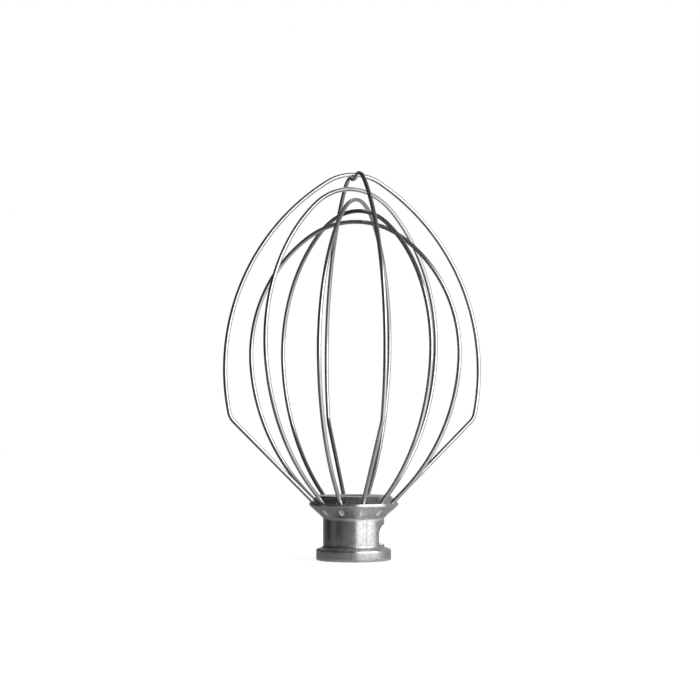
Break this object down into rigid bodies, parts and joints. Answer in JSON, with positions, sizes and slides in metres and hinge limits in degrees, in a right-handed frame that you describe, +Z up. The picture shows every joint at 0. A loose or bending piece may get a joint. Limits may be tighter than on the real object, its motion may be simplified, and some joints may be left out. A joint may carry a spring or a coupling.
{
  "type": "stand mixer wire whisk",
  "caption": "Wire whisk for a stand mixer: a balloon cage of nested steel loops set in a cast hub that twists onto the beater shaft.",
  "frame": {"origin": "centre of the hub's base face, where the beater shaft goes in", "axes": "+Z up along the shaft axis from the hub to the wire crowns, +X towards the twist-lock window in the hub's neck"},
  "size_m": [0.1236, 0.1262, 0.1819],
  "materials": {
    "cast_hub": "burnished casting",
    "wire": "polished stainless wire"
  },
  "bodies": {
    "root": {"hub": "cast_hub", "outer_wire": "wire", "saddle_wire": "wire", "nested_wire_1": "wire", "nested_wire_2": "wire", "nested_wire_3": "wire", "nested_wire_4": "wire"}
  },
  "joints": []
}
